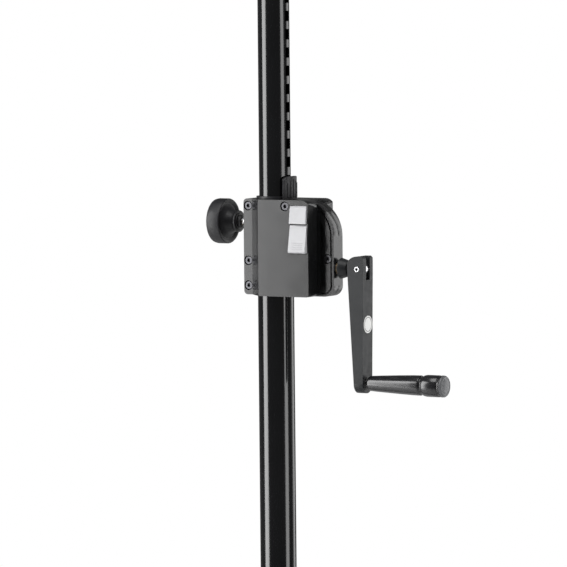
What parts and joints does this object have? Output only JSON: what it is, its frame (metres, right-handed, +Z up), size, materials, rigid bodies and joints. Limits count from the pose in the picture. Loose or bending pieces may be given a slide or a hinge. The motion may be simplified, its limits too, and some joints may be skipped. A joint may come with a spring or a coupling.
{
  "type": "crank lighting stand",
  "caption": "Wind-up lighting stand: folding tripod, slotted telescopic mast raised by a geared folding crank, with mast clamp and spigot socket.",
  "frame": {"origin": "on the floor at the mast axis", "axes": "+Z up along the mast, -Y towards the housing's front, +X towards the crank"},
  "size_m": [1.0832, 0.9424, 1.64],
  "materials": {
    "tube_black": "glossy black",
    "housing_black": "semi-gloss fine texture",
    "black_plastic": "matte",
    "arm_grey": "satin dark grey",
    "grip_black": "glossy",
    "cap_grey": "satin",
    "latch_light": "satin light grey",
    "label_white": "satin, blank",
    "zinc": "zinc plated",
    "gear_steel": "machined",
    "bronze": "sintered",
    "socket_alu": "satin",
    "rubber": "matte"
  },
  "bodies": {
    "mast": {"lower_tube": "tube_black", "mast_foot_cap": "black_plastic", "brace_collar": "black_plastic", "housing_front": "housing_black", "housing_back": "housing_black", "housing_screws": "zinc", "guide_sleeve": "black_plastic", "rack_guard": "black_plastic", "latch_cover": "latch_light", "lever_pin": "zinc", "gear_bushes": "bronze", "crank_bushes": "bronze", "clamp_nut": "bronze", "brace_pins": "zinc"},
    "upper_mast": {"upper_tube": "tube_black", "tube_guide_ring": "black_plastic", "top_socket": "socket_alu"},
    "top_clamp": {"top_screw": "zinc", "top_knob": "black_plastic"},
    "crank": {"crank_shaft": "zinc", "worm": "gear_steel", "crank_hub": "arm_grey", "crank_tongue": "zinc", "fold_pin": "zinc"},
    "arm": {"crank_arm": "arm_grey", "round_label": "label_white", "handle_spindle": "zinc"},
    "grip": {"handle_grip": "grip_black", "handle_cap": "cap_grey"},
    "drive": {"gear_shaft": "gear_steel", "sprocket": "gear_steel"},
    "shoe": {"brake_shoe": "black_plastic"},
    "knob": {"clamp_knob": "black_plastic", "clamp_stud": "zinc", "lock_collar": "black_plastic"},
    "lever": {"release_lever": "latch_light"},
    "collar": {"leg_collar": "black_plastic", "leg_pins": "zinc"},
    "collar_screw": {"collar_knob": "black_plastic"},
    "leg_1": {"leg_1": "tube_black", "foot_1": "rubber"},
    "brace_1": {"brace_1": "tube_black", "knee_pin_1": "zinc"},
    "leg_2": {"leg_2": "tube_black", "foot_2": "rubber"},
    "brace_2": {"brace_2": "tube_black", "knee_pin_2": "zinc"},
    "leg_3": {"leg_3": "tube_black", "foot_3": "rubber"},
    "brace_3": {"brace_3": "tube_black", "knee_pin_3": "zinc"}
  },
  "joints": [
    {"name": "crank_turn", "type": "hinge", "parent": "mast", "child": "crank", "pos_m": [0.08, 0, 1.178], "axis": [1, 0, 0], "range_deg": [-4500, 12960]},
    {"name": "drive_turn", "type": "hinge", "parent": "mast", "child": "drive", "pos_m": [0.036, 0, 1.2135], "axis": [0, 1, 0], "range_deg": [-751, 2161]},
    {"name": "mast_slide", "type": "slide", "parent": "mast", "child": "upper_mast", "axis": [0, 0, 1], "range_m": [-0.251, 0.721]},
    {"name": "top_clamp_turn", "type": "hinge", "parent": "upper_mast", "child": "top_clamp", "pos_m": [0.03, 0, 1.6], "axis": [1, 0, 0], "range_deg": [0, 720]},
    {"name": "crank_fold", "type": "hinge", "parent": "crank", "child": "arm", "pos_m": [0.108, 0, 1.178], "axis": [0, -1, 0], "range_deg": [0, 90]},
    {"name": "grip_spin", "type": "hinge", "parent": "arm", "child": "grip", "pos_m": [0.16, 0, 1.053], "axis": [1, 0, 0], "continuous": true},
    {"name": "clamp_turn", "type": "hinge", "parent": "shoe", "child": "knob", "pos_m": [-0.05, 0, 1.227], "axis": [-1, 0, 0], "range_deg": [0, 720]},
    {"name": "shoe_slide", "type": "slide", "parent": "mast", "child": "shoe", "axis": [-1, 0, 0], "range_m": [0, 0.0026]},
    {"name": "lever_pull", "type": "hinge", "parent": "mast", "child": "lever", "pos_m": [0.045, -0.027, 1.2244], "axis": [-1, 0, 0], "range_deg": [0, 18], "stiffness_Nm_per_rad": 0.05},
    {"name": "leg_fold", "type": "hinge", "parent": "mast", "child": "brace_1", "pos_m": [0, 0.038, 0.06], "axis": [1, 0, 0], "range_deg": [0, 47]},
    {"name": "knee_1", "type": "hinge", "parent": "brace_1", "child": "leg_1", "pos_m": [0, 0.29221, 0.25861], "axis": [1, 0, 0], "range_deg": [-95, 0.5]},
    {"name": "collar_pivot", "type": "hinge", "parent": "leg_1", "child": "collar", "pos_m": [0, 0.038, 0.45722], "axis": [1, 0, 0], "range_deg": [-0.5, 48]},
    {"name": "leg_pivot_2", "type": "hinge", "parent": "collar", "child": "leg_2", "pos_m": [-0.03291, -0.019, 0.45722], "axis": [-0.5, 0.866, 0], "range_deg": [-48, 0.5]},
    {"name": "brace_pivot_2", "type": "hinge", "parent": "mast", "child": "brace_2", "pos_m": [-0.03291, -0.019, 0.06], "axis": [-0.5, 0.866, 0], "range_deg": [-0.5, 48]},
    {"name": "leg_pivot_3", "type": "hinge", "parent": "collar", "child": "leg_3", "pos_m": [0.03291, -0.019, 0.45722], "axis": [-0.5, -0.866, 0], "range_deg": [-48, 0.5]},
    {"name": "brace_pivot_3", "type": "hinge", "parent": "mast", "child": "brace_3", "pos_m": [0.03291, -0.019, 0.06], "axis": [-0.5, -0.866, 0], "range_deg": [-0.5, 48]},
    {"name": "collar_lock_turn", "type": "hinge", "parent": "collar", "child": "collar_screw", "pos_m": [0, -0.045, 0.46823], "axis": [0, -1, 0], "range_deg": [0, 720]}
  ],
  "couplings": [
    {"joint": "drive_turn", "follows": "crank_turn", "ratio": 0.16667},
    {"joint": "mast_slide", "follows": "crank_turn", "m_per_rad": 0.0031831},
    {"joint": "shoe_slide", "follows": "clamp_turn", "m_per_rad": 0.00019894},
    {"joint": "knee_1", "follows": "leg_fold", "ratio": -2},
    {"joint": "collar_pivot", "follows": "leg_fold", "ratio": 1},
    {"joint": "leg_pivot_2", "follows": "leg_fold", "ratio": -1},
    {"joint": "brace_pivot_2", "follows": "leg_fold", "ratio": 1},
    {"joint": "leg_pivot_3", "follows": "leg_fold", "ratio": -1},
    {"joint": "brace_pivot_3", "follows": "leg_fold", "ratio": 1}
  ]
}
